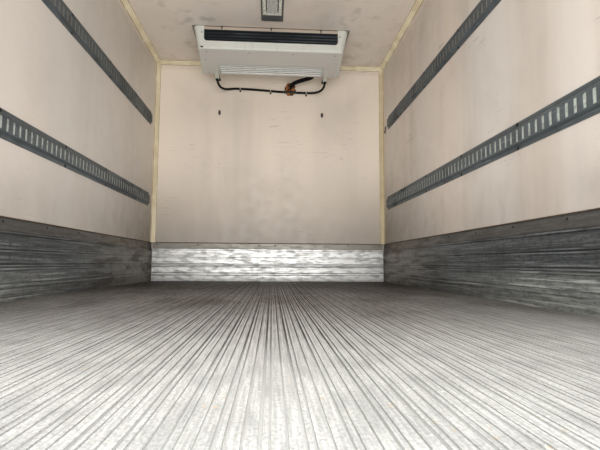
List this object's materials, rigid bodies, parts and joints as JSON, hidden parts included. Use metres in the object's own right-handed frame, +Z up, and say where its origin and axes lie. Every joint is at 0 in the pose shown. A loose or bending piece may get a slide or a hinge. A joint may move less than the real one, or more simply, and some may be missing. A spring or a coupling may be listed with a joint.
{
  "type": "refrigerated truck box body",
  "caption": "Insulated box body of a refrigerated truck with folded-back rear doors, ribbed floor, slotted load rails, ceiling evaporator and nose condenser unit.",
  "frame": {"origin": "centre of the four chassis bolt holes, on the plane of the subframe runners' undersides", "axes": "+X to the body's right, +Y forward to the cab, +Z up"},
  "size_m": [2.798, 5.174, 2.591],
  "materials": {
    "outer_panel": "glass-fibre faced sandwich panel, cream white",
    "tread_aluminium": "ribbed, scuffed and stained",
    "stainless": "brushed",
    "capping": "anodised",
    "cove_plastic": "ivory",
    "kick_aluminium": "dark, scratched",
    "bright_kick_aluminium": "bright, scratched",
    "rail_steel": "blue-grey, worn",
    "lamp_base": "dark grey",
    "lamp_frame": "light grey",
    "lamp_lens": "ribbed lens",
    "white_plastic": "moulded cover",
    "black_plastic": "moulded",
    "fin_aluminium": "finned",
    "dark_metal": "black paint",
    "black_rubber": "matt",
    "foam": "aged orange-brown foam",
    "frame_steel": "dark grey paint",
    "lamp_red_amber": "moulded lens"
  },
  "bodies": {
    "root": {"floor_panel": "outer_panel", "tread_floor": "tread_aluminium", "right_wall": "outer_panel", "left_wall": "outer_panel", "front_wall": "outer_panel", "roof_panel": "outer_panel", "rear_frame": "stainless", "edge_cappings": "capping", "cove_trims": "cove_plastic", "kick_plate_right": "kick_aluminium", "kick_plate_left": "kick_aluminium", "kick_plate_front": "bright_kick_aluminium", "load_rail_right_lower": "rail_steel", "load_rail_right_upper": "rail_steel", "load_rail_left_lower": "rail_steel", "load_rail_left_upper": "rail_steel", "lamp_base": "lamp_base", "lamp_frame": "lamp_frame", "lamp_lens": "lamp_lens", "evaporator_housing": "white_plastic", "evaporator_grille": "black_plastic", "evaporator_louvre": "white_plastic", "evaporator_coil": "fin_aluminium", "evaporator_motors": "dark_metal", "drain_spigots": "white_plastic", "drain_hose_left": "black_rubber", "drain_hose_right": "black_rubber", "pipe_bundle": "black_rubber", "pipe_foam": "foam", "hose_clips": "dark_metal", "bulkhead_fittings": "dark_metal", "subframe_runners": "frame_steel", "cross_bearers": "frame_steel", "chassis_feet": "frame_steel", "hinge_brackets": "stainless", "lock_keepers": "stainless", "door_buffers": "black_rubber", "condenser_housing": "white_plastic", "condenser_grille": "black_plastic", "condenser_coil": "fin_aluminium", "condenser_compressor": "dark_metal", "condenser_motors": "dark_metal", "marker_lamps": "lamp_red_amber", "dock_buffers": "black_rubber"},
    "door_right": {"door_leaf_right": "outer_panel", "door_gasket_right": "black_rubber", "door_kick_plate_right": "kick_aluminium", "door_straps_right": "stainless", "door_lock_gear_right": "stainless"},
    "door_left": {"door_leaf_left": "outer_panel", "door_gasket_left": "black_rubber", "door_kick_plate_left": "kick_aluminium", "door_straps_left": "stainless", "door_lock_gear_left": "stainless"},
    "evaporator_fan_left": {"evaporator_fan_left": "black_plastic"},
    "evaporator_fan_middle": {"evaporator_fan_middle": "black_plastic"},
    "evaporator_fan_right": {"evaporator_fan_right": "black_plastic"},
    "condenser_fan_left": {"condenser_fan_left": "black_plastic"},
    "condenser_fan_right": {"condenser_fan_right": "black_plastic"}
  },
  "joints": [
    {"name": "door_right_hinge", "type": "hinge", "parent": "root", "child": "door_right", "pos_m": [1.245, -2.39, 1.4], "axis": [0, 0, 1], "range_deg": [-270, 0]},
    {"name": "door_left_hinge", "type": "hinge", "parent": "root", "child": "door_left", "pos_m": [-1.245, -2.39, 1.4], "axis": [0, 0, 1], "range_deg": [0, 270]},
    {"name": "evaporator_fan_left_spin", "type": "hinge", "parent": "root", "child": "evaporator_fan_left", "pos_m": [-0.32, 1.8915, 2.333], "axis": [0, 0, 1], "continuous": true},
    {"name": "evaporator_fan_middle_spin", "type": "hinge", "parent": "root", "child": "evaporator_fan_middle", "pos_m": [0, 1.8915, 2.333], "axis": [0, 0, 1], "continuous": true},
    {"name": "evaporator_fan_right_spin", "type": "hinge", "parent": "root", "child": "evaporator_fan_right", "pos_m": [0.32, 1.8915, 2.333], "axis": [0, 0, 1], "continuous": true},
    {"name": "condenser_fan_left_spin", "type": "hinge", "parent": "root", "child": "condenser_fan_left", "pos_m": [-0.295, 2.688, 2.21], "axis": [0, 1, 0], "continuous": true},
    {"name": "condenser_fan_right_spin", "type": "hinge", "parent": "root", "child": "condenser_fan_right", "pos_m": [0.295, 2.688, 2.21], "axis": [0, 1, 0], "continuous": true}
  ]
}
